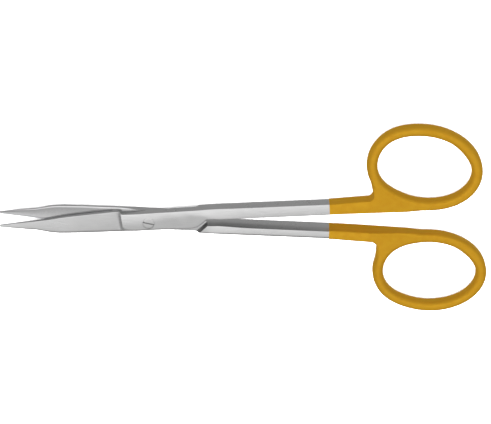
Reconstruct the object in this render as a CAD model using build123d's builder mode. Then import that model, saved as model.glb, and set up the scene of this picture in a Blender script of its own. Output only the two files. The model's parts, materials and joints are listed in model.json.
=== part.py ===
"""Fine straight scissors with gold-plated finger rings, carbide edges and a flush screw pivot.

The scissors lie flat with their finger rings towards +X and +Z up. The origin is on the pivot
axis, at the plane they rest on. Both halves are the same forging, so each shape is drawn once,
in the straight frame: long axis along X, lap face in XY, outer face towards +Z, shank towards
+X with its outer side towards +Y. The back half is that forging turned half a turn about X. The
two long axes cross a little to the +Y side of the screw.
"""
from build123d import *
import os

# Driving dimensions, in millimetres and degrees
HALF_THICK = 1.8        # from the lap face to either outer face
LAP_GAP = 0.02          # each lap face stands this far back from the middle plane
REST_ANGLE = 2.7        # each half is turned this far open at rest
AXES_Y = 0.5            # where the halves' long axes cross, from the screw

TIP_X = -41.0           # blade
TIP_Y = 0.05
TIP_WIDTH = 0.16
BLADE_THICK = 1.3
TIP_THICK = 0.42
EDGE_MID = (-22.0, 2.1)
HEEL = (-7.65, 3.16)
NOSE_STRAIGHT_END = (-30.3, -1.5)
NOSE_SHOULDER = (-26.4, -2.4)
SPINE_START = (-23.4, -2.72)
SPINE_END = (-9.0, -3.02)
TAPER_START_X = -19.0

BOX_START_X = -7.9      # joint
BOX_RAMP = 0.7
JOINT_TOP = 2.45
WAIST = (-2.5, 2.55)
WAIST_BELOW = (-1.0, -2.82)
FLANK = 2.95            # outer side of the joint and shank
JOINT_BELOW = (10.8, -2.75)
DIAGONAL_LOW = (13.0, -2.3)
DIAGONAL_HIGH = (15.1, -0.72)
SHOULDER_OUT = (13.25, 2.95)
SHOULDER_IN = (15.8, 0.0)

SHANK_FRONT_IN = -0.3   # inner side of the shank, at the outer face
SHANK_BACK_IN = 0.7     # and at the opposite face
PLATING_X = 48.4

RING_HOLE = (12.9, 9.35)    # half-axes
RING_WIDTH = 2.5
RING_ROUND = 1.0
ROOT_FILLET = 2.0
STEM_MERGE_X = 68.0
WEB_TOP = 10.5              # the web's side runs from the stem up to here
FRONT_RING = dict(centre=(73.8, 11.85), tilt=-15.6, web_side=(60.67, 59.14))
BACK_RING = dict(centre=(76.45, 12.25), tilt=2.0, web_side=(61.72, 61.49))

INSERT_START = (-39.6, 0.12)
INSERT_END = (-9.5, 2.1)
INSERT_THICK = 0.5

SCREW_HEAD_R = 1.55
SCREW_RIM = 0.25
SCREW_NECK_R = 1.1
SCREW_FIT = 0.04
SLOT_WIDTH = 0.34
SLOT_DEPTH = 0.45
SLOT_ANGLE = -13.3

# Corners worked out from those
TIP_ABOVE = (TIP_X, TIP_Y + TIP_WIDTH / 2)
TIP_BELOW = (TIP_X, TIP_Y - TIP_WIDTH / 2)
BOX_TOP = (HEEL[0] + BOX_RAMP, JOINT_TOP)
SLOPE_START_X = DIAGONAL_HIGH[0] + 0.1

os.makedirs("parts", exist_ok=True)


def edge_arc():
    """The convex cutting edge, from tip to heel."""
    return ThreePointArc(TIP_ABOVE, EDGE_MID, HEEL)


def inner_slope(back_in):
    """Section of what is cut away beyond the sloping inner side of a shank."""
    return Polygon(
        (SHANK_FRONT_IN, HALF_THICK),
        (SHANK_FRONT_IN - 3, HALF_THICK),
        (SHANK_FRONT_IN - 3, -HALF_THICK),
        (back_in, -HALF_THICK),
        align=None,
    )


def screw_blank(clearance=0.0, bottom=-HALF_THICK):
    """Revolve the screw's outline about Z, grown by a clearance."""
    head = SCREW_HEAD_R + clearance
    neck = SCREW_NECK_R + clearance
    rim = HALF_THICK - SCREW_RIM - clearance
    with BuildPart(mode=Mode.PRIVATE) as blank:
        with BuildSketch(Plane.XZ):
            with BuildLine():
                Polyline(
                    (0, bottom),
                    (neck, bottom),
                    (neck, rim - (head - neck)),
                    (head, rim),
                    (head, HALF_THICK),
                    (0, HALF_THICK),
                    close=True,
                )
            make_face()
        revolve(axis=Axis.Z)
    return blank.part


def finger_ring(centre, tilt, web_side):
    """One plated ring with its web and stem, from the plating line on, in the straight frame."""
    with BuildPart(mode=Mode.PRIVATE) as ring:
        with BuildSketch(Plane.XY.offset(-HALF_THICK)) as outline:
            with Locations(Location((*centre, 0), (0, 0, tilt))):
                Ellipse(RING_HOLE[0] + RING_WIDTH, RING_HOLE[1] + RING_WIDTH)
            low = centre[1] - RING_HOLE[1] - RING_WIDTH
            with BuildLine():
                Polyline(
                    (PLATING_X, FLANK),
                    (PLATING_X, SHANK_FRONT_IN),
                    (STEM_MERGE_X, SHANK_FRONT_IN),
                    (centre[0], low + 0.1),
                    (centre[0], WEB_TOP),
                    (web_side[1], WEB_TOP),
                    (web_side[0], FLANK),
                    close=True,
                )
            make_face()
            root = outline.vertices().filter_by_position(Axis.Y, FLANK - 0.01, FLANK + 0.01)
            fillet(root.sort_by(Axis.X)[-1], ROOT_FILLET)
            with Locations(Location((*centre, 0), (0, 0, tilt))):
                Ellipse(*RING_HOLE, mode=Mode.SUBTRACT)
        extrude(amount=2 * HALF_THICK)
        for x, back_in in ((PLATING_X, SHANK_BACK_IN), (STEM_MERGE_X, SHANK_FRONT_IN)):
            with BuildSketch(Plane.YZ.offset(x)):
                inner_slope(back_in)
        loft(mode=Mode.SUBTRACT)
        fillet(hole_edges(ring), RING_ROUND)
    return ring.part


def hole_edges(ring):
    """The two elliptical rims of a finger ring's hole."""
    return ring.edges().filter_by(GeomType.ELLIPSE).filter_by(lambda e: e.is_closed)


# The forging, up to the plating line
with BuildPart() as forging:
    with BuildSketch(Plane.XY.offset(LAP_GAP)):
        with BuildLine():
            edge_arc()
            Line(HEEL, BOX_TOP)
            Spline(BOX_TOP, WAIST, (DIAGONAL_LOW[0], FLANK), tangents=((1, 0), (1, 0)))
            Polyline(
                (DIAGONAL_LOW[0], FLANK),
                (PLATING_X, FLANK),
                (PLATING_X, SHANK_FRONT_IN),
                (DIAGONAL_HIGH[0], SHANK_FRONT_IN),
                DIAGONAL_HIGH,
                DIAGONAL_LOW,
                JOINT_BELOW,
                WAIST_BELOW,
                SPINE_END,
                SPINE_START,
            )
            Spline(SPINE_START, NOSE_SHOULDER, NOSE_STRAIGHT_END, tangents=((-1, 0), (-1, 0.15)))
            Polyline(NOSE_STRAIGHT_END, TIP_BELOW, TIP_ABOVE)
        make_face()
    extrude(amount=HALF_THICK - LAP_GAP)
    with BuildSketch(Plane.XY.offset(LAP_GAP)):
        with BuildLine():
            Polyline(
                SHOULDER_OUT,
                (PLATING_X, FLANK),
                (PLATING_X, SHANK_FRONT_IN),
                (SHOULDER_IN[0], SHANK_FRONT_IN),
                SHOULDER_IN,
                close=True,
            )
        make_face()
    extrude(amount=-HALF_THICK - LAP_GAP)
    # blade thickness: the outer face steps down at the box and tapers to the tip
    with BuildSketch(Plane.XZ):
        with BuildLine():
            Polyline(
                (BOX_START_X + BOX_RAMP, HALF_THICK),
                (BOX_START_X, BLADE_THICK),
                (TAPER_START_X, BLADE_THICK),
                (TIP_X, TIP_THICK),
                (TIP_X - 1, TIP_THICK),
                (TIP_X - 1, HALF_THICK),
                close=True,
            )
        make_face()
    extrude(amount=2 * FLANK, both=True, mode=Mode.SUBTRACT)
    # the shank's inner side slopes, so that the two shanks nest when closed
    with BuildSketch(Plane.YZ.offset(PLATING_X)):
        inner_slope(SHANK_BACK_IN)
    extrude(amount=SLOPE_START_X - PLATING_X, mode=Mode.SUBTRACT)

# Carbide strip along the cutting edge: convex outside, straight where it is brazed in
with BuildPart() as strip:
    with BuildSketch(Plane.XY.offset(LAP_GAP)):
        with BuildLine():
            edge_arc()
            Line(HEEL, TIP_ABOVE)
        make_face()
        with BuildLine():
            Polyline(TIP_ABOVE, HEEL, INSERT_END, INSERT_START, close=True)
        make_face()
        with Locations(((INSERT_START[0] + INSERT_END[0]) / 2, 0)):
            Rectangle(INSERT_END[0] - INSERT_START[0], 4 * FLANK, mode=Mode.INTERSECT)
    extrude(amount=INSERT_THICK)


def front_frame(shape):
    """From the straight frame to the front half's place at rest."""
    return Pos(0, AXES_Y, HALF_THICK) * Rot(0, 0, REST_ANGLE) * shape


def back_frame(shape):
    """From the straight frame to the back half's place at rest."""
    return Pos(0, AXES_Y, HALF_THICK) * Rot(0, 0, -REST_ANGLE) * Rot(180, 0, 0) * shape


with BuildPart() as front_half:
    add(front_frame(forging.part - strip.part))
    add(Pos(0, 0, HALF_THICK) * screw_blank(SCREW_FIT, -2 * HALF_THICK), mode=Mode.SUBTRACT)

with BuildPart() as back_half:
    add(back_frame(forging.part - strip.part))
    add(Pos(0, 0, HALF_THICK) * screw_blank(), mode=Mode.SUBTRACT)

with BuildPart() as front_edge_insert:
    add(front_frame(strip.part))

with BuildPart() as back_edge_insert:
    add(back_frame(strip.part))

with BuildPart() as front_finger_ring:
    add(front_frame(finger_ring(**FRONT_RING)))

with BuildPart() as back_finger_ring:
    add(back_frame(finger_ring(**BACK_RING)))

with BuildPart() as pivot_screw:
    add(Pos(0, 0, HALF_THICK) * screw_blank())
    with BuildSketch(Plane.XY.offset(2 * HALF_THICK)):
        Rectangle(3 * SCREW_HEAD_R, SLOT_WIDTH, rotation=SLOT_ANGLE)
    extrude(amount=-SLOT_DEPTH, mode=Mode.SUBTRACT)

pieces = dict(
    front_half=front_half,
    back_half=back_half,
    front_edge_insert=front_edge_insert,
    back_edge_insert=back_edge_insert,
    front_finger_ring=front_finger_ring,
    back_finger_ring=back_finger_ring,
    pivot_screw=pivot_screw,
)
for name, piece in pieces.items():
    piece.part.label = name
    export_step(piece.part, f"parts/{name}.step")
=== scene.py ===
import json
import math

import bmesh
import bpy
import numpy as np
from mathutils import Matrix, Vector


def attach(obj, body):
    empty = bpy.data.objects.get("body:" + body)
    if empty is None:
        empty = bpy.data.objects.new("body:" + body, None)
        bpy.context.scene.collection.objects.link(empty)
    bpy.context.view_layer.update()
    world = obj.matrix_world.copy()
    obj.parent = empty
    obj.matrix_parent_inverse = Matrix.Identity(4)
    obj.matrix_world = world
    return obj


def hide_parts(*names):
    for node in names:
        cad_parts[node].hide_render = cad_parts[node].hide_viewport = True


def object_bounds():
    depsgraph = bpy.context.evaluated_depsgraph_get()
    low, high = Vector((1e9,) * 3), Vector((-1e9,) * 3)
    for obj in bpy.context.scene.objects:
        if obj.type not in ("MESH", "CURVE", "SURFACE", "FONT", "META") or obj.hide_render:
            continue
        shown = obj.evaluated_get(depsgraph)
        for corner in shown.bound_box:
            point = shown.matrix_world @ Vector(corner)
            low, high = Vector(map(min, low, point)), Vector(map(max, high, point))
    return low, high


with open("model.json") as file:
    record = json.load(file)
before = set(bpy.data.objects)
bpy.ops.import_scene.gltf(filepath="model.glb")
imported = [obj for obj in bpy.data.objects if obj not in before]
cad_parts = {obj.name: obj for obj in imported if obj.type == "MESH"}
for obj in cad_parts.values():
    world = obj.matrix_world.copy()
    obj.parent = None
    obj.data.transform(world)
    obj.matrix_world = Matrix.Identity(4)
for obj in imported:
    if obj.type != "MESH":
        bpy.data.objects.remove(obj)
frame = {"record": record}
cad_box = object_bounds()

# Fine straight scissors lying on a pale table. Each half is one forging. It is drawn in
# millimetres in its own straight frame (long axis along X, lap face in XY, outer face towards
# +Z, shank towards +X with its outer side towards +Y) and then turned to its place at rest. The
# steel is a loft of rounded sections, and the plated rings are read off a smooth distance field.
MM = 0.001
FRONT, BACK = "front_scissor_half", "back_scissor_half"
PIVOT = Vector(frame["record"]["behaviour"]["joints"][0]["pos_m"])
HALF_THICK = PIVOT.z / MM
REST_ANGLE = 2.7        # degrees that each half is turned open at rest
AXES_Y = 0.5            # where the halves' long axes cross, from the screw
LAP = 0.02              # how far each lap face stands back from the middle plane

# Blade
TIP = (-41.0, 0.05)
EDGE_MID = (-22.0, 2.1)
HEEL = (-7.65, 3.16)
BLADE_THICK = 1.3
EDGE_DIP = 0.24         # how much flatter than an arc the cutting edge is behind the tip
SPINE_BEVEL = 0.05      # how far the lap face falls away towards the spine
LAP_HOLLOW = 0.05       # how deep the lap face is hollowed along the blade
BOX_START = -7.1        # where the ramp up to the joint ends, on the long axis
BOX_SKEW = -0.08        # how far the ramp leans along X for each millimetre of Y
RAMP_REACH = 1.0        # how long the ramp is along the middle of the blade
RAMP_SPREAD = 0.25      # share of the width, from the spine, over which it is drawn out
RAMP_DRAWN = 8          # how much longer it is at the spine
RAMP_SHIFT = 6          # how much nearer the screw it ends at the spine
SPINE_ROUND = 0.8       # radius of the section's corner at the spine, where the blade is thick
EDGE_ROUND = 0.12       # and at the cutting edge
LAP_ROUND = 0.03        # and at the lap face
# Joint and shank
FLANK = 2.95            # outer side of the joint and shank
PLATING_X = 48.4
SHOULDER_X = 15.72      # where the shoulder crosses the long axis
SHOULDER_SKEW = -0.95   # how far the shoulder leans along X for each millimetre of Y
SHOULDER_DRAFT = 0.6    # how long the shoulder takes to reach the shank's whole thickness
SHANK_INNER = -0.3      # inner side of the shank, at the outer face
INNER_RISE = 1.0        # how much the shank's inner side slopes from one face to the other
JOINT_FLARE = 0.26      # how much wider the joint is at the lap face than at the outer face
# Finger rings
RING_HOLE = (12.72, 9.17)   # half-axes
RING_WIDTH = 2.87
RING_ROUND = 1.25       # radius of the band's edges
RING_BLUNT = 0.16       # how much fuller than an ellipse the end towards the pivot is
RING_BROAD = 0.3        # how much wider the band is at one side of its far end
# splay bends the stem's inner side out, side and lean place the web's left side, and broad is the
# side of the far end where the band is wider
RINGS = {
    FRONT: dict(
        centre=(73.8, 11.85), tilt=math.radians(-15.6), splay=-0.12, side=59.9, lean=0.2, broad=1
    ),
    BACK: dict(
        centre=(76.45, 12.25), tilt=math.radians(2), splay=0.6, side=61.6, lean=0.03, broad=-1
    ),
}
WEB_Y = 6.7             # where a ring's left side is given
WEB_TOP = 10.5
ROOT_FILLET = 2.0       # between stem and web
STEM_FLARE = 0.45       # how much the stem's outer side spreads before the web
STEM_EDGE = 0.24        # radius of the stem's edges
STEM_CROWN = 0.32       # how much lower the stem's face is at its side
# Edge inserts
INSERT_START = (-39.6, 0.12)
INSERT_END = (-9.5, 2.1)
INSERT_THICK = 0.5
BRAZE = 0.015           # how much larger than the strip its pocket is
# Screw
HEAD_R = 1.55
HEAD_DEPTH = 0.3
NECK_R = 1.1
BORE_GAP = 0.009
SLOT_ANGLE = math.radians(-13.3)
SLOT_HALF = 0.15        # half its width
SLOT_DEPTH = 0.45
SLOT_FLARE = 0.06       # how much wider it is at the top on each side
# Light
ROOM = 0.45             # radiance of the room, which the metal's sides show
GLOW = 1.65             # at the middle of the glow overhead
GLOW_EDGE = 0.83        # cosine of the angle where the glow ends
GLOW_TILT = (-5, -1)    # degrees from overhead, towards +X and +Y
TABLE_LAMP = 45
# Camera
CAMERA_TILT = math.radians(27)
CAMERA_DISTANCE = 0.48
CAMERA_WIDTH = 0.1313   # width of the view at the target
CAMERA_AIM = (0.0259, 0.00256)


# ---------------------------------------------------------------- small helpers


def step(low, high, x):
    """0 below low, 1 above high, smooth in between."""
    t = np.clip((np.asarray(x, float) - low) / (high - low), 0, 1)
    return t * t * (3 - 2 * t)


def softened(points, reach):
    """A function of x through the points, its corners rounded over the given reach."""
    xs, ys = np.array(points, float).T
    shifts = np.linspace(-reach, reach, 9)
    weights = 1 - (np.abs(shifts) / reach) ** 2 * 0.9
    weights /= weights.sum()
    return lambda x: float(np.interp(x + shifts, xs, ys) @ weights)


def place(body):
    """From a half's straight frame in millimetres to the row frame in metres."""
    turned = Matrix.Rotation(math.radians(REST_ANGLE), 4, "Z")
    if body == BACK:
        flipped = Matrix.Rotation(math.pi, 4, "X")
        turned = Matrix.Rotation(-math.radians(REST_ANGLE), 4, "Z") @ flipped
    return Matrix.Translation(PIVOT + Vector((0, AXES_Y * MM, 0))) @ turned @ Matrix.Scale(MM, 4)


def new_piece(name, bm, material, body, sharp=math.radians(32)):
    """A bmesh in the row frame becomes a smooth-shaded piece that rides on a body."""
    bmesh.ops.recalc_face_normals(bm, faces=bm.faces)
    mesh = bpy.data.meshes.new(name)
    bm.to_mesh(mesh)
    bm.free()
    mesh.shade_smooth()
    mesh.set_sharp_from_angle(angle=sharp)
    mesh.materials.append(material)
    piece = bpy.data.objects.new(name, mesh)
    bpy.context.scene.collection.objects.link(piece)
    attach(piece, body)
    return piece


def loft(sections):
    """A closed tube of quads through sections of equal point counts, with both ends filled."""
    bm = bmesh.new()
    rings = [[bm.verts.new(p) for p in section] for section in sections]
    for a, b in zip(rings, rings[1:]):
        for i in range(len(a)):
            j = (i + 1) % len(a)
            bm.faces.new((a[i], a[j], b[j], b[i]))
    bm.faces.new(rings[0])
    bm.faces.new(reversed(rings[-1]))
    return bm


def boolean(target, cutter, operation):
    """The result of a boolean between two loose objects, as a new bmesh."""
    modifier = target.modifiers.new("cut", "BOOLEAN")
    modifier.operation = operation
    modifier.solver = "EXACT"
    modifier.object = cutter
    result = target.evaluated_get(bpy.context.evaluated_depsgraph_get())
    bm = bmesh.new()
    bm.from_mesh(result.to_mesh())
    result.to_mesh_clear()
    target.modifiers.remove(modifier)
    return bm


def loose(name, bm):
    """A temporary object for a boolean."""
    bmesh.ops.recalc_face_normals(bm, faces=bm.faces)
    mesh = bpy.data.meshes.new(name)
    bm.to_mesh(mesh)
    bm.free()
    thing = bpy.data.objects.new(name, mesh)
    bpy.context.scene.collection.objects.link(thing)
    return thing


def discard(*things):
    for thing in things:
        bpy.data.objects.remove(thing)


# ---------------------------------------------------------------- the steel forging


def arc_through(a, b, c):
    """y on the circle through three points, as a function of x, on the side of b."""
    (ax, ay), (bx, by), (cx, cy) = a, b, c
    d = 2 * (ax * (by - cy) + bx * (cy - ay) + cx * (ay - by))
    aa, bb, cc = ax**2 + ay**2, bx**2 + by**2, cx**2 + cy**2
    ux = (aa * (by - cy) + bb * (cy - ay) + cc * (ay - by)) / d
    uy = (aa * (cx - bx) + bb * (ax - cx) + cc * (bx - ax)) / d
    r = math.hypot(ax - ux, ay - uy)
    side = 1 if by > uy else -1
    return lambda x: uy + side * math.sqrt(max(r * r - (x - ux) ** 2, 0))


cutting_edge = arc_through((TIP[0], TIP[1] + 0.08), EDGE_MID, HEEL)
box_top = softened(
    [(-7.0, 2.5), (-3, 2.5), (3, 2.68), (12, FLANK - 0.13), (18, FLANK + 0.03), (60, FLANK)], 1.5
)
below = softened(
    [
        (TIP[0], TIP[1] - 0.28),
        (-35.4, -1.0),
        (-30.3, -1.54),
        (-26.6, -2.4),
        (-24.4, -2.72),
        (-18, -2.92),
        (-8, -3.0),
        (-1, -2.8),
        (6, -2.76),
        (11.3, -2.7),
        (13, -2.3),
        (15.1, -0.68),
        (15.45, -0.16),
        (17.5, -0.16),
        (19.5, SHANK_INNER),
        (60, SHANK_INNER),
    ],
    0.35,
)
spine_thickness = softened(
    [(TIP[0], 0.42), (-33, 0.8), (-24, 1.28), (-17, BLADE_THICK), (60, BLADE_THICK)], 2
)
edge_thickness = softened(
    [(TIP[0], 0.4), (-33, 0.75), (-24, 1.15), (-17, 1.26), (-9, BLADE_THICK), (60, BLADE_THICK)], 2
)


def above(x):
    """The outline on the +Y side: cutting edge, then a step at the heel, then joint and shank."""
    heel = float(step(HEEL[0] - 0.15, HEEL[0] + 0.85, x))
    edge = cutting_edge(min(x, HEEL[0] + 0.5))
    edge -= EDGE_DIP * float(step(TIP[0], -31, x) * (1 - step(-29, -21, x)))
    return edge * (1 - heel) + box_top(max(x, HEEL[0])) * heel


def skew(x0):
    """How far the section line at x0 leans along X for each millimetre of Y."""
    box = BOX_SKEW * float(step(-14, -9, x0) * (1 - step(-6, -1, x0)))
    shoulder = SHOULDER_SKEW * float(step(4, 13.5, x0) * (1 - step(17.5, 30, x0)))
    return box + shoulder


def side_point(x0, lean, outline):
    """Where the leaning section line at x0 meets an outline."""
    x = x0
    for _ in range(30):
        x = 0.5 * x + 0.5 * (x0 + lean * outline(x))
    return np.array([x, outline(x)])


def rounded(corners, radii, along):
    """A closed outline of (w, z) points, always as many: straight sides and round corners."""
    points = []
    count = len(corners)
    for i in range(count):
        here, before, after = corners[i], corners[i - 1], corners[(i + 1) % count]
        r = radii[i]
        start = here + (before - here) / np.linalg.norm(before - here) * r
        end = here + (after - here) / np.linalg.norm(after - here) * r
        for t in np.linspace(0, 1, 7):
            points.append(start * (1 - t) ** 2 + here * 2 * t * (1 - t) + end * t * t)
        far = after + (here - after) / np.linalg.norm(here - after) * radii[(i + 1) % count]
        for t in np.linspace(0, 1, along[i] + 2)[1:-1]:
            points.append(end + (far - end) * t)
    return np.array(points)


def forging_section(x0):
    """The half's section at x0, as 3-D points in its straight frame."""
    lean = skew(x0)
    top = side_point(x0, lean, above)
    bottom = side_point(x0, lean, below)
    width = np.linalg.norm(top - bottom)
    across = (top - bottom) / width
    outline = section_outline(x0, width, spine_thickness(bottom[0]), edge_thickness(top[0]))
    return np.column_stack([bottom + outline[:, :1] * across, outline[:, 1]])


def section_outline(x0, width, spine, edge):
    """The section at x0 as (w, z) points: w from spine or inner side to edge or outer side."""
    in_joint = float(step(-8, -1.5, x0))
    in_box = float(step(BOX_START - 1, BOX_START, x0))
    in_shank = 1 - (1 - float(np.clip((x0 - SHOULDER_X) / SHOULDER_DRAFT, 0, 1))) ** 1.2

    # corners: the back is the lap face, and in the shank it is the whole thickness down
    back = LAP * (1 - in_shank) - HALF_THICK * in_shank
    rise = in_shank * INNER_RISE * (BLADE_THICK - back) / (BLADE_THICK + HALF_THICK)
    rise += 0.25 * in_joint * (1 - in_shank)
    draft = 0.12 * in_box
    flare = 0.06 * in_box + JOINT_FLARE * float(step(3, 8.5, x0)) * (1 - in_shank)
    corners = np.array([[0, spine], [width - draft, edge], [width + flare, back], [rise, back]])

    # rounding, smaller where the blade is thin
    thin = min(edge, spine) - back
    small = min(1.0, thin / 1.3, width / 1.6)
    low = SPINE_ROUND - 0.25 * in_joint - 0.27 * float(step(4, 10, x0)) - 0.08 * in_shank
    high = EDGE_ROUND + 0.06 * in_box
    radii = np.array([low, high, LAP_ROUND + 0.7 * in_shank, LAP_ROUND + 0.15 * in_shank])
    largest = np.array([0.6, 0.3, 0.3, 0.3]) * min(thin, width)
    points = rounded(corners, np.minimum(radii * (small, small, 1, 1), largest), (16, 4, 26, 4))

    # the outer face is crowned, and steps up at the joint
    f = np.clip(points[:, 0] / width, 0, 1)
    crown_start = (0.3 + 0.3 * float(step(-4, 8, x0))) * in_box - 0.7 * float(step(12, 19, x0))
    crown = (0.09 + (0.039 * width - 0.09) * in_box) * (1 - crown_start)
    lit = np.where(points[:, 1] > 0, f, 1 - f)
    points[:, 1] *= 1 - crown * (np.maximum(lit - crown_start, 0) / (1 - crown_start)) ** 2
    raised = 1 + (HALF_THICK / BLADE_THICK - 1) * box_ramp(x0, f)
    points[:, 1] *= np.where(points[:, 1] > LAP, raised, 1)

    # the lap face is hollow along the blade, and falls away at the spine
    hollow = LAP_HOLLOW * float(1 - step(-16, -9, x0)) * small
    on_lap = (points[:, 1] < LAP + 0.01) * (1 - in_shank)
    points[:, 1] += hollow * (1 - (2 * f - 1) ** 2) * on_lap
    sunk = np.clip(1 - (points[:, 1] - LAP) / (spine - LAP), 0, 1)
    bevel = SPINE_BEVEL * float(step(-38, -30, x0) * (1 - step(-7, -2, x0)))
    points[:, 1] += bevel * sunk * np.maximum(1 - f / 0.08, 0) ** 2
    return points


def box_ramp(x, f):
    """The scooped ramp from blade to joint, 0 to 1: short at the edge, long at the spine."""
    spread = np.maximum(1 - f / RAMP_SPREAD, 0) ** 2
    reach = RAMP_REACH + 0.5 * f**2 + RAMP_DRAWN * spread
    climb = np.clip((x - BOX_START - RAMP_SHIFT * spread + reach) / reach, 0, 1)
    soft = np.minimum(6 * spread, 1)
    return (1 - soft) * climb**2.6 + soft * step(0, 1, climb)


def stations():
    """Section places along the half, closer together where the shape turns."""
    places = [(TIP[0], -9.5, 0.8), (-9.5, -6.3, 0.09), (-6.3, 0, 0.4), (0, 10, 0.7)]
    places += [(10, 15.6, 0.3), (15.6, 16.5, 0.06), (16.5, 20, 0.3), (20, PLATING_X, 1.2)]
    xs = [TIP[0]]
    for low, high, gap in places:
        count = max(2, round((high - low) / gap))
        xs += list(np.linspace(low, high, count + 1)[1:])
    return xs


def forging(body):
    bm = loft([forging_section(x) for x in stations()])
    bm.transform(place(body))
    return bm


# ---------------------------------------------------------------- the plated finger rings


def oval_distance(u, v, a, b):
    """Distance to an ellipse with a blunter end at -u, good near its line and negative inside."""
    f = np.sqrt((u / a) ** 2 + (v / b) ** 2) + 1e-9
    slope = np.sqrt((u / a**2) ** 2 + (v / b**2) ** 2) / f + 1e-9
    turn = (u / a / f) ** 2
    return (f - 1) / slope + RING_BLUNT * (8 * turn**2 - 8 * turn + 1) * step(0, 0.7, -u / a / f)


def both(a, b, r):
    """Where both distances are inside, with the edge between them rounded to radius r."""
    corner = np.hypot(np.maximum(a + r, 0), np.maximum(b + r, 0))
    return corner + np.minimum(np.maximum(a, b) + r, 0) - r


def either(a, b, r):
    """Where either distance is inside, with a fillet of radius r between them."""
    return np.maximum(np.minimum(a, b), r) - np.hypot(np.maximum(r - a, 0), np.maximum(r - b, 0))


def ring_field(p, centre, tilt, splay, side, lean, broad):
    """Distance to a plated ring with its web and stem, negative inside, in the straight frame."""
    x, y, z = p
    bend = splay * step(50, centre[0], x)
    dx, dy = x - centre[0], y - centre[1]
    u = dx * math.cos(tilt) + dy * math.sin(tilt)
    v = dy * math.cos(tilt) - dx * math.sin(tilt)
    hole = oval_distance(u, v, *RING_HOLE)
    hole += RING_BROAD * step(4, 10, u) * step(1, 6, broad * v)
    outer = oval_distance(u, v, RING_HOLE[0] + RING_WIDTH, RING_HOLE[1] + RING_WIDTH)

    rise = INNER_RISE * (HALF_THICK - z) / (2 * HALF_THICK) * (1 - step(56, 70, x))
    low = SHANK_INNER + rise + bend
    flare = STEM_FLARE * step(46, 61, x)
    high = FLANK - 0.03 - 0.12 * z + flare
    stem = both(y - high, x - centre[0] - 0.5, 1)
    web = np.maximum.reduce([side + lean * (WEB_Y - y) - x, x - centre[0], y - WEB_TOP])
    root = both(either(stem, web, ROOT_FILLET), low - y, 1.2)
    body = either(root, outer, 0.12)
    plan = np.maximum(body, -hole)

    on_ring = 1 - step(RING_WIDTH - 0.2, RING_WIDTH + 1.2, hole)
    outside = step(-0.4, 0.4, body + hole) * (1 - step(centre[1] - 10, centre[1], y))
    edge_radius = STEM_EDGE + on_ring * (RING_ROUND - STEM_EDGE) * (1 - 0.35 * outside)
    across = np.clip((y - low) / (high - low), 0, 1)
    edge_radius += 0.35 * step(0.4, 0.8, across) * step(-0.5, 0.5, -z) * (1 - step(60, 66, x))
    lit = np.where(z > 0, across, 1 - across)
    crown = STEM_CROWN * lit**2 * (1 - step(57, 61.5, x))
    return both(plan, np.abs(z) - HALF_THICK + crown, edge_radius)


def surface(field, low, high, gap):
    """Quads on a field's zero surface: one vertex per cell that it crosses, pulled onto it."""
    counts = [int(math.ceil((h - l) / gap)) + 1 for l, h in zip(low, high)]
    axes = [l + gap * np.arange(n) for l, n in zip(low, counts)]
    grid = np.stack(np.meshgrid(*axes, indexing="ij"))
    value = field(grid)
    inside = value < 0
    total = np.zeros([3] + [n - 1 for n in counts])
    hits = np.zeros([n - 1 for n in counts])
    quads = []
    crossings = []
    for axis in range(3):
        a = [slice(None)] * 3
        b = [slice(None)] * 3
        a[axis], b[axis] = slice(0, -1), slice(1, None)
        a, b = tuple(a), tuple(b)
        cut = inside[a] != inside[b]
        share = np.where(cut, value[a] / np.where(cut, value[a] - value[b], 1), 0)
        spot = grid[(slice(None), *a)] + share * gap * (np.arange(3) == axis).reshape(3, 1, 1, 1)
        spot = np.where(cut, spot, 0)
        others = [i for i in range(3) if i != axis]
        for s in (0, 1):
            for t in (0, 1):
                window = [slice(None)] * 3
                window[others[0]] = slice(s, counts[others[0]] - 1 + s)
                window[others[1]] = slice(t, counts[others[1]] - 1 + t)
                window = tuple(window)
                total += spot[(slice(None), *window)]
                hits += cut[window]
        crossings.append((axis, others, np.argwhere(cut), inside[a][cut]))
    active = hits > 0
    index = np.full(hits.shape, -1)
    index[active] = np.arange(active.sum())
    points = (total[:, active] / hits[active]).T
    for axis, (m, n), where, starts_inside in crossings:
        cells = []
        for dm, dn in ((0, 0), (-1, 0), (-1, -1), (0, -1)):
            c = where.copy()
            c[:, m] += dm
            c[:, n] += dn
            cells.append(index[c[:, 0], c[:, 1], c[:, 2]])
        quad = np.stack(cells, 1)
        flip = starts_inside if axis != 1 else ~starts_inside
        quads.append(np.where(flip[:, None], quad[:, ::-1], quad))
    quads = np.concatenate(quads)
    for round_number in range(4):
        if round_number:
            points = relaxed(points, quads)
        points = pulled(points, field)
    return points, quads


def relaxed(points, quads):
    """Each point halfway to the mean of its neighbours, so that the quads are even."""
    total = np.zeros_like(points)
    count = np.zeros(len(points))
    for i in range(4):
        for j in ((i + 1) % 4, (i + 3) % 4):
            np.add.at(total, quads[:, i], points[quads[:, j]])
            np.add.at(count, quads[:, i], 1)
    return 0.5 * points + 0.5 * total / np.maximum(count, 1)[:, None]


def pulled(points, field):
    """The points moved along the field's slope onto its zero surface."""
    tiny = 1e-3
    for _ in range(3):
        here = field(points.T)
        moved = [field(points.T + tiny * e[:, None]) for e in np.eye(3)]
        slope = np.stack([(there - here) / tiny for there in moved], 1)
        share = here / np.maximum((slope**2).sum(1), 0.05)
        points = points - slope * share[:, None].clip(-0.1, 0.1)
    return points


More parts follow.
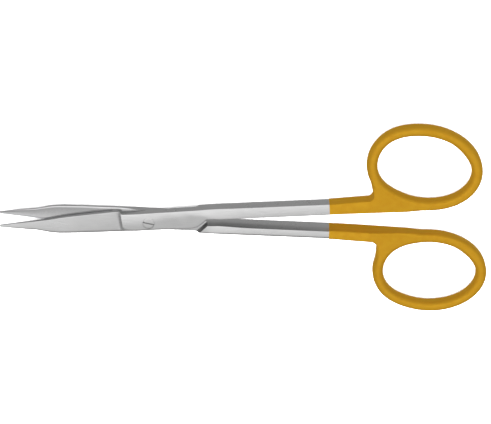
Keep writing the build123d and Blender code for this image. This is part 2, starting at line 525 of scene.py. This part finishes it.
def finger_ring(name, body, material, gap):
    shape = RINGS[body]
    reach = RING_HOLE[0] + RING_WIDTH + 0.6
    low = (PLATING_X - 1, -1.2, -HALF_THICK - 3 * gap)
    high = (shape["centre"][0] + reach, shape["centre"][1] + reach - 2, HALF_THICK + 3 * gap)

    def stopped(p):
        return np.maximum(ring_field(p, **shape), PLATING_X - 0.6 - p[0])

    points, quads = surface(stopped, low, high, gap)
    mesh = bpy.data.meshes.new(name)
    mesh.from_pydata(points.tolist(), [], quads.tolist())
    bm = bmesh.new()
    bm.from_mesh(mesh)
    bpy.data.meshes.remove(mesh)
    everything = bm.verts[:] + bm.edges[:] + bm.faces[:]
    bmesh.ops.bisect_plane(
        bm, geom=everything, plane_co=(PLATING_X, 0, 0), plane_no=(-1, 0, 0), clear_outer=True
    )
    rim = [e for e in bm.edges if e.is_boundary]
    bmesh.ops.edgeloop_fill(bm, edges=rim)
    bm.transform(place(body))
    return new_piece(name, bm, material, body)


# ---------------------------------------------------------------- screw and inserts


def lathe(profile, count=72):
    """A turned solid about Z through (radius, height) points, closed on the axis at both ends."""
    bm = bmesh.new()
    rings = []
    for r, z in profile:
        if r == 0:
            rings.append([bm.verts.new((0, 0, z))] * count)
        else:
            turn = [2 * math.pi * i / count for i in range(count)]
            rings.append([bm.verts.new((r * math.cos(t), r * math.sin(t), z)) for t in turn])
    for a, b in zip(rings, rings[1:]):
        for i in range(count):
            j = (i + 1) % count
            corners = list(dict.fromkeys((a[i], a[j], b[j], b[i])))
            bm.faces.new(corners)
    return bm


def prism(plan, low, high):
    """A straight block with the given plan, from one height to another."""
    bm = bmesh.new()
    floor = [bm.verts.new((x, y, low)) for x, y in plan]
    roof = [bm.verts.new((x, y, high)) for x, y in plan]
    bm.faces.new(reversed(floor))
    bm.faces.new(roof)
    for i in range(len(plan)):
        j = (i + 1) % len(plan)
        bm.faces.new((floor[i], floor[j], roof[j], roof[i]))
    return bm


def screw_profile(grow):
    """Outline of the hole that the screw sits in, for a given clearance."""
    head, neck, seat = HEAD_R + grow, NECK_R + grow, HALF_THICK - HEAD_DEPTH - grow
    return [
        (0, -3),
        (neck, -3),
        (neck, seat - (HEAD_R - NECK_R)),
        (head, seat),
        (head, HALF_THICK + 1),
        (0, HALF_THICK + 1),
    ]


def pivot_screw(material):
    top, base = HALF_THICK, -HALF_THICK
    seat = top - HEAD_DEPTH
    profile = [(0, base - 0.005)]
    profile += [(NECK_R - 0.1, base), (NECK_R - 0.02, base + 0.06), (NECK_R, base + 0.14)]
    profile += [(NECK_R, seat - (HEAD_R - NECK_R)), (HEAD_R - 0.02, seat - 0.02)]
    profile += [(HEAD_R, seat + 0.02), (HEAD_R, top - 0.1)]
    profile += [(HEAD_R - 0.02, top - 0.055), (HEAD_R - 0.07, top - 0.03)]
    profile += [(r, top - 0.028 * (r / HEAD_R) ** 2) for r in (1.3, 1.0, 0.7, 0.4)]
    profile += [(0, top)]
    blank = loose("screw_blank", lathe(profile))
    half, wide, reach, base = SLOT_HALF, SLOT_HALF + SLOT_FLARE, 2.5, top - SLOT_DEPTH
    slot = bmesh.new()
    section = [(-half, base), (half, base), (half, top - 0.07), (wide, top + 0.05)]
    section += [(-wide, top + 0.05), (-half, top - 0.07)]
    ends = [[slot.verts.new((x, w, z)) for w, z in section] for x in (-reach, reach)]
    slot.faces.new(ends[0])
    slot.faces.new(reversed(ends[1]))
    for i in range(len(section)):
        j = (i + 1) % len(section)
        slot.faces.new((ends[0][i], ends[1][i], ends[1][j], ends[0][j]))
    slot.transform(Matrix.Rotation(SLOT_ANGLE, 4, "Z"))
    slot = loose("slot_cutter", slot)
    bm = boolean(blank, slot, "DIFFERENCE")
    discard(blank, slot)
    bm.transform(Matrix.Translation(PIVOT) @ Matrix.Scale(MM, 4))
    piece = new_piece("slotted_pivot_screw", bm, material, BACK)
    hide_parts("pivot_screw")


def insert_plan(grow):
    """Plan of a block that holds the carbide strip: everything beyond its straight brazed side."""
    start, end = Vector(INSERT_START), Vector(INSERT_END)
    out = (end - start).normalized()
    aside = Vector((out.y, -out.x)) * grow
    start, end = start + aside, end + aside
    beyond = end + out * grow
    return [start - out * grow, beyond, beyond + Vector((0, 3)), Vector((start.x, 5))]


def steel_half(body, side, steel, ground, carbide):
    """One forging with its bore for the screw and its carbide strip let in."""
    blank = loose("blank", forging(body))
    cutters = []
    for grow in (BRAZE, 0):
        bm = prism(insert_plan(grow), -1, LAP + INSERT_THICK + grow)
        bm.transform(place(body))
        cutters.append(loose("strip_cutter", bm))
    pocketed = loose("pocketed", boolean(blank, cutters[0], "DIFFERENCE"))
    strip = boolean(blank, cutters[1], "INTERSECT")
    if body == FRONT:
        bore = lathe(screw_profile(BORE_GAP))
    else:
        bore = lathe([(0, -3), (NECK_R + BORE_GAP, -3), (NECK_R + BORE_GAP, 1), (0, 1)])
    bore.transform(Matrix.Translation(PIVOT) @ Matrix.Scale(MM, 4))
    bore = loose("bore_cutter", bore)
    half = new_piece(f"{side}_half_forging", boolean(pocketed, bore, "DIFFERENCE"), steel, body)
    half.data.materials.append(ground)
    # the lap faces at the middle plane take the lap steel: its lines and low roughness are the
    # ground finish, its darker tone is painted shade between the halves
    for face in half.data.polygons:
        if abs(face.normal.z) > 0.9 and abs(face.center.z - PIVOT.z) < 0.15 * MM:
            face.material_index = 1
    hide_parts(f"{side}_half")
    edge = new_piece(f"{side}_carbide_edge", strip, carbide, body)
    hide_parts(f"{side}_edge_insert")
    discard(blank, pocketed, bore, *cutters)


# ---------------------------------------------------------------- materials


class Nodes:
    """A material's node tree, with short calls to add to it."""

    def __init__(self, name):
        self.material = bpy.data.materials.new(name)
        self.material.use_nodes = True
        self.tree = self.material.node_tree
        self.shader = self.tree.nodes["Principled BSDF"]
        self.spot = self.tree.nodes.new("ShaderNodeTexCoord").outputs["Object"]

    def node(self, kind, inputs=(), **settings):
        made = self.tree.nodes.new("ShaderNode" + kind)
        for key, value in settings.items():
            setattr(made, key, value)
        for key, value in dict(inputs).items():
            self.set(made.inputs[key], value)
        return made

    def set(self, socket, value):
        if isinstance(value, bpy.types.NodeSocket):
            self.tree.links.new(value, socket)
        else:
            socket.default_value = value

    def noise(self, scale, detail=4.0, stretch=(1, 1, 1), roughness=0.55):
        """Noise from 0 to 1 with features of about 1/scale metres, drawn out along an axis."""
        mapped = self.node("Mapping", {"Vector": self.spot, "Scale": stretch}).outputs["Vector"]
        inputs = {"Vector": mapped, "Scale": scale, "Detail": detail, "Roughness": roughness}
        return self.node("TexNoise", inputs).outputs["Fac"]

    def ramp(self, value, low, high, from_low=0.3, from_high=0.7):
        """The value's middle range spread between two numbers."""
        inputs = {0: value, 1: from_low, 2: from_high, 3: low, 4: high}
        return self.node("MapRange", inputs).outputs[0]

    def mix(self, share, first, second):
        made = self.node("Mix", {"Factor": share}, data_type="RGBA")
        self.set(made.inputs[6], first)
        self.set(made.inputs[7], second)
        return made.outputs[2]

    def math(self, operation, *values):
        made = self.node("Math", operation=operation)
        for socket, value in zip(made.inputs, values):
            self.set(socket, value)
        return made.outputs[0]

    def bump(self, height, strength, distance, under=None):
        inputs = {"Height": height, "Strength": strength, "Distance": distance}
        if under is not None:
            inputs["Normal"] = under
        return self.node("Bump", inputs).outputs["Normal"]


def satin_steel():
    """Stainless steel, glass-bead blasted and then lightly brushed along its length."""
    m = Nodes("satin_steel")
    clouds = m.noise(180, 5)
    grain = m.noise(9000, 3)
    strokes = m.noise(5200, 4, stretch=(0.06, 1, 1))
    tone = m.mix(m.ramp(clouds, 0, 1), (0.54, 0.54, 0.54, 1), (0.59, 0.59, 0.588, 1))
    tone = m.mix(m.ramp(strokes, 0, 0.35), tone, (0.48, 0.48, 0.48, 1))
    m.set(m.shader.inputs["Base Color"], tone)
    m.shader.inputs["Metallic"].default_value = 1.0
    spread = m.math("ADD", m.ramp(clouds, 0.28, 0.34), m.ramp(strokes, -0.04, 0.05))
    m.set(m.shader.inputs["Roughness"], spread)
    normal = m.bump(strokes, 0.10, 0.00002)
    m.set(m.shader.inputs["Normal"], m.bump(grain, 0.12, 0.00001, normal))
    return m.material


def lap_steel_and_painted_shade():
    """The same steel where it is ground flat, with fine lines running across the blade, and a
    darker tone than the satin steel that is painted shade where the halves face each other.
    """
    m = Nodes("lap_steel_and_painted_shade")
    clouds = m.noise(260, 4)
    lines = m.noise(7000, 4, stretch=(1, 0.07, 1))
    # the grinding lines are the finish; the darker tone than the satin steel's is painted shade
    # between the halves
    tone = m.mix(m.ramp(clouds, 0, 1), (0.50, 0.50, 0.505, 1), (0.545, 0.545, 0.545, 1))
    tone = m.mix(m.ramp(lines, 0, 0.3), tone, (0.44, 0.44, 0.445, 1))
    m.set(m.shader.inputs["Base Color"], tone)
    m.shader.inputs["Metallic"].default_value = 1.0
    m.set(m.shader.inputs["Roughness"], m.ramp(lines, 0.14, 0.22))
    m.set(m.shader.inputs["Normal"], m.bump(lines, 0.10, 0.00001))
    return m.material


def gold_plate():
    """Satin gold plating, a little uneven, with fine rubbing marks."""
    m = Nodes("gold_plate")
    clouds = m.noise(110, 4)
    rubs = m.noise(2600, 4, stretch=(0.25, 0.25, 1))
    tone = m.mix(m.ramp(clouds, 0, 1), (0.85, 0.497, 0.035, 1), (0.90, 0.532, 0.041, 1))
    m.set(m.shader.inputs["Base Color"], tone)
    m.shader.inputs["Metallic"].default_value = 1.0
    m.shader.inputs["Specular Tint"].default_value = (1.0, 0.93, 0.75, 1)
    spread = m.math("ADD", m.ramp(clouds, 0.64, 0.70), m.ramp(rubs, -0.05, 0.05))
    m.set(m.shader.inputs["Roughness"], spread)
    normal = m.bump(rubs, 0.06, 0.00002)
    m.set(m.shader.inputs["Normal"], m.bump(m.noise(700, 3), 0.05, 0.00004, normal))
    return m.material


def ground_carbide():
    """Sintered carbide, darker than the steel, with grinding lines across the edge."""
    m = Nodes("ground_carbide")
    lines = m.noise(9000, 3, stretch=(1, 0.05, 1))
    clouds = m.noise(400, 4)
    tone = m.mix(m.ramp(clouds, 0, 1), (0.40, 0.40, 0.41, 1), (0.47, 0.47, 0.48, 1))
    m.set(m.shader.inputs["Base Color"], tone)
    m.shader.inputs["Metallic"].default_value = 1.0
    m.set(m.shader.inputs["Roughness"], m.ramp(lines, 0.26, 0.40))
    m.set(m.shader.inputs["Normal"], m.bump(lines, 0.15, 0.00001))
    return m.material


def screw_steel():
    """The screw's steel: turned, then ground flush, so its marks run round."""
    m = Nodes("screw_steel")
    inputs = {"Vector": m.spot, "Scale": 2500.0, "Distortion": 1.5}
    rings = m.node("TexWave", inputs, wave_type="RINGS", rings_direction="Z").outputs["Fac"]
    clouds = m.noise(500, 4)
    tone = m.mix(m.ramp(clouds, 0, 1), (0.58, 0.58, 0.58, 1), (0.66, 0.66, 0.655, 1))
    m.set(m.shader.inputs["Base Color"], tone)
    m.shader.inputs["Metallic"].default_value = 1.0
    m.set(m.shader.inputs["Roughness"], m.ramp(clouds, 0.30, 0.38))
    m.set(m.shader.inputs["Normal"], m.bump(rings, 0.08, 0.00001))
    return m.material


def table_top():
    m = Nodes("table_top")
    tone = m.mix(m.ramp(m.noise(6, 3), 0, 1), (0.93, 0.93, 0.93, 1), (0.95, 0.95, 0.95, 1))
    m.set(m.shader.inputs["Base Color"], tone)
    m.shader.inputs["Roughness"].default_value = 0.9
    return m.material


# ---------------------------------------------------------------- stage, light and camera


def floor():
    bm = bmesh.new()
    bmesh.ops.create_grid(bm, x_segments=1, y_segments=1, size=3)
    mesh = bpy.data.meshes.new("floor")
    bm.to_mesh(mesh)
    bm.free()
    mesh.materials.append(table_top())
    plane = bpy.data.objects.new("floor", mesh)
    plane.location.z = cad_box[0].z - 0.00005
    plane.visible_glossy = False
    bpy.context.scene.collection.objects.link(plane)


def soft_box(name, place_at, aim, size, power):
    light = bpy.data.lights.new(name, "AREA")
    light.shape = "RECTANGLE"
    light.size, light.size_y = size
    light.energy = power
    lamp = bpy.data.objects.new(name, light)
    lamp.location = place_at
    lamp.rotation_mode = "QUATERNION"
    lamp.rotation_quaternion = (Vector(aim) - Vector(place_at)).to_track_quat("-Z", "Y")
    lamp.visible_glossy = False
    bpy.context.scene.collection.objects.link(lamp)


def studio():
    """A dim pale room with a broad glow overhead, and a lamp for the table that gloss can't see."""
    world = bpy.data.worlds.new("studio")
    bpy.context.scene.world = world
    world.use_nodes = True
    nodes, links = world.node_tree.nodes, world.node_tree.links
    way = nodes.new("ShaderNodeTexCoord").outputs["Generated"]
    facing = nodes.new("ShaderNodeVectorMath")
    facing.operation = "DOT_PRODUCT"
    aside = [math.tan(math.radians(angle)) for angle in GLOW_TILT]
    facing.inputs[1].default_value = Vector((*aside, 1)).normalized()
    links.new(way, facing.inputs[0])
    glow = nodes.new("ShaderNodeMapRange")
    glow.interpolation_type = "SMOOTHSTEP"
    for socket, value in zip(glow.inputs[1:5], (GLOW_EDGE, 1.0, ROOM, GLOW)):
        socket.default_value = value
    links.new(facing.outputs["Value"], glow.inputs[0])
    links.new(glow.outputs[0], nodes["Background"].inputs["Strength"])
    nodes["Background"].inputs["Color"].default_value = (1, 1, 1, 1)
    middle = (cad_box[0] + cad_box[1]) / 2
    soft_box("table_lamp", middle + Vector((0, -0.1, 0.8)), middle, (1.6, 1.6), TABLE_LAMP)
    bpy.context.scene.view_settings.view_transform = "Standard"


def camera():
    """From above and a little to the +Y side, with +Y up in the picture."""
    target = Vector((*CAMERA_AIM, PIVOT.z))
    back = Vector((0, math.sin(CAMERA_TILT), math.cos(CAMERA_TILT)))
    up = Vector((0, math.cos(CAMERA_TILT), -math.sin(CAMERA_TILT)))
    lens = bpy.data.cameras.new("camera")
    lens.sensor_width = 36
    lens.lens = lens.sensor_width * CAMERA_DISTANCE / CAMERA_WIDTH
    lens.clip_start = 0.01
    view = bpy.data.objects.new("camera", lens)
    turned = Matrix((up.cross(back), up, back)).transposed().to_4x4()
    view.matrix_world = Matrix.Translation(target + back * CAMERA_DISTANCE) @ turned
    bpy.context.scene.collection.objects.link(view)
    bpy.context.scene.camera = view


# ---------------------------------------------------------------- the scissors

# ground is the lap steel: ground finish, with a darker tone that is painted shade between the
# halves
steel, ground, gold, carbide = satin_steel(), lap_steel_and_painted_shade(), gold_plate(), ground_carbide()
ring_gap = 0.16
for body, side in ((FRONT, "front"), (BACK, "back")):
    steel_half(body, side, steel, ground, carbide)
    ring = finger_ring(f"{side}_plated_ring", body, gold, ring_gap)
    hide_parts(f"{side}_finger_ring")
pivot_screw(screw_steel())
floor()
studio()
camera()
